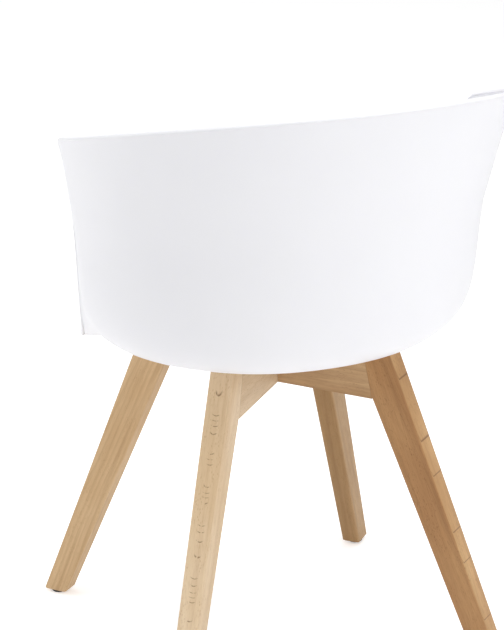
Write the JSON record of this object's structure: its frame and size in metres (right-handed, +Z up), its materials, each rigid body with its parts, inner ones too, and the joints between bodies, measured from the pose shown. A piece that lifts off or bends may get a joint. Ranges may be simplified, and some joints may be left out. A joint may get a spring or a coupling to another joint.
{
  "type": "dining chair",
  "caption": "Dining chair with a white moulded tub seat with low arms, on crossed beech beams and four splayed, tapered beech legs.",
  "frame": {"origin": "on the floor, at the middle of the whole chair's outline seen from above", "axes": "+Z up; the sitter faces -Y; +X is the sitter's left"},
  "size_m": [0.5714, 0.5506, 0.8025],
  "materials": {
    "shell_plastic": "satin",
    "beech": "satin",
    "zinc_steel": "satin",
    "brass": "satin",
    "rubber": "matt",
    "glide_plastic": "matt"
  },
  "bodies": {
    "root": {"seat_shell": "shell_plastic", "threaded_inserts": "brass", "rubber_pads": "rubber", "upper_beam": "beech", "lower_beam": "beech", "front_left_leg": "beech", "front_right_leg": "beech", "rear_left_leg": "beech", "rear_right_leg": "beech", "leg_dowels": "beech", "seat_bolts": "zinc_steel", "flat_washers": "zinc_steel", "spring_washers": "zinc_steel", "front_left_glide": "glide_plastic", "front_right_glide": "glide_plastic", "rear_left_glide": "glide_plastic", "rear_right_glide": "glide_plastic", "glide_nails": "zinc_steel"}
  },
  "joints": []
}
